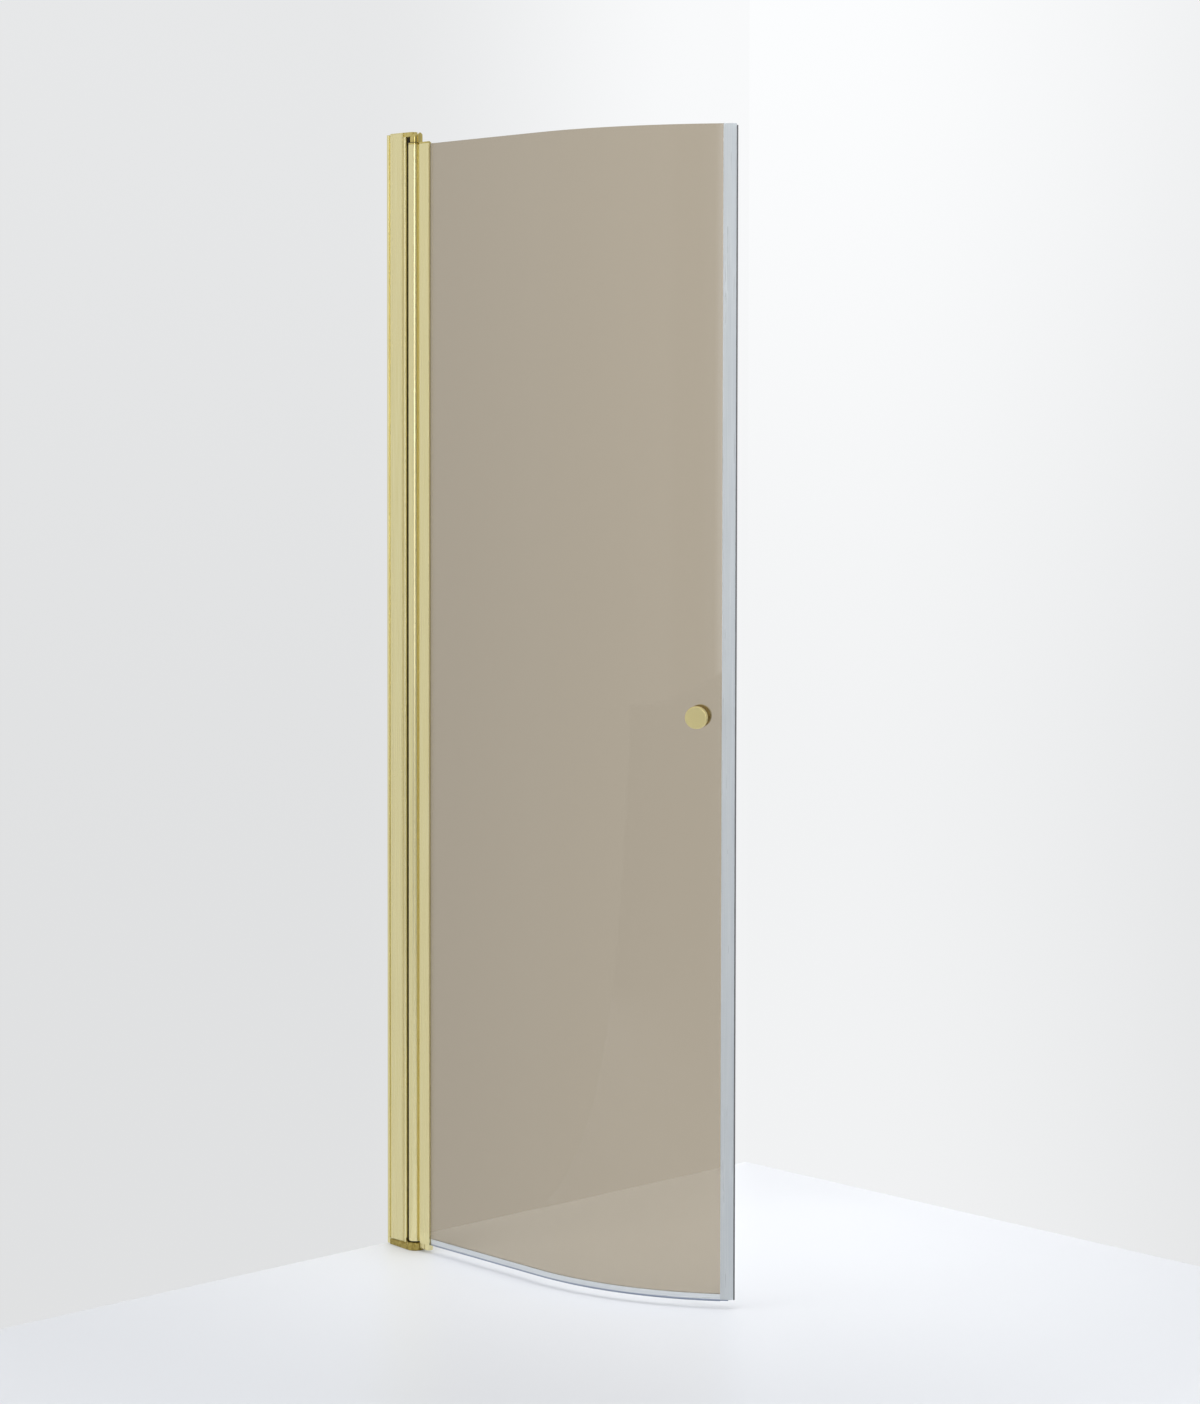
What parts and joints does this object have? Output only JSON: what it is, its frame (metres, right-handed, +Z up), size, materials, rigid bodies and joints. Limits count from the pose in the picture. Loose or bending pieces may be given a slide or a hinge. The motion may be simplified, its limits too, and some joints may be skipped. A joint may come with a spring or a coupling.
{
  "type": "shower door",
  "caption": "Swing door of a rounded shower enclosure: one bent bronze-tinted glass leaf in a brass-coloured hinge profile with pivots, clear edge seals and a round knob on both sides.",
  "frame": {"origin": "on the wall, under the middle of the wall channel, at floor level: the wall face's point at the foot of the door", "axes": "+X out from the wall along the closed door, +Y into the shower (the hollow side of the bend), +Z up"},
  "size_m": [0.7421, 0.1511, 2],
  "materials": {
    "brass": "brushed along the length, satin",
    "steel": "plain stainless fasteners and pins",
    "black_rubber": "matte extruded rubber",
    "white_plastic": "turned acetal",
    "bronze_glass": "toughened, bronze tint, polished edges",
    "clear_vinyl": "soft clear extrusion, slightly milky",
    "magnet_rubber": "ferrite-filled magnet strip"
  },
  "bodies": {
    "wall_side": {"wall_channel": "brass", "channel_top_cap": "brass"},
    "hinge_frame": {"hinge_profile": "brass", "profile_top_cap": "brass", "lock_screws": "steel", "gap_gasket": "black_rubber", "upper_arm": "brass", "upper_arm_screws": "steel", "upper_pin": "steel", "upper_collar": "brass", "upper_washer": "black_rubber", "lower_foot": "brass", "lower_foot_screws": "steel", "lower_pin": "steel", "lower_washer": "black_rubber"},
    "leaf": {"door_stile": "brass", "clamp_bar": "brass", "clamp_screws": "steel", "outer_glazing_gasket": "clear_vinyl", "inner_glazing_gasket": "clear_vinyl", "upper_bush": "white_plastic", "lower_bush": "white_plastic", "stile_top_cap": "brass", "stile_foot_cap": "brass", "stile_cap_screws": "steel", "glass_panel": "bronze_glass", "bottom_seal": "clear_vinyl", "closing_seal": "clear_vinyl", "magnet_strip": "magnet_rubber", "knob_outer": "brass", "knob_inner": "brass", "knob_stud": "steel", "knob_sleeve": "white_plastic", "knob_washers": "white_plastic"}
  },
  "joints": [
    {"name": "width_adjustment", "type": "slide", "parent": "wall_side", "child": "hinge_frame", "axis": [1, 0, 0], "range_m": [0, 0.015]},
    {"name": "door_swing", "type": "hinge", "parent": "hinge_frame", "child": "leaf", "pos_m": [0.068, 0, 1], "axis": [0, 0, 1], "range_deg": [-90, 80]}
  ]
}
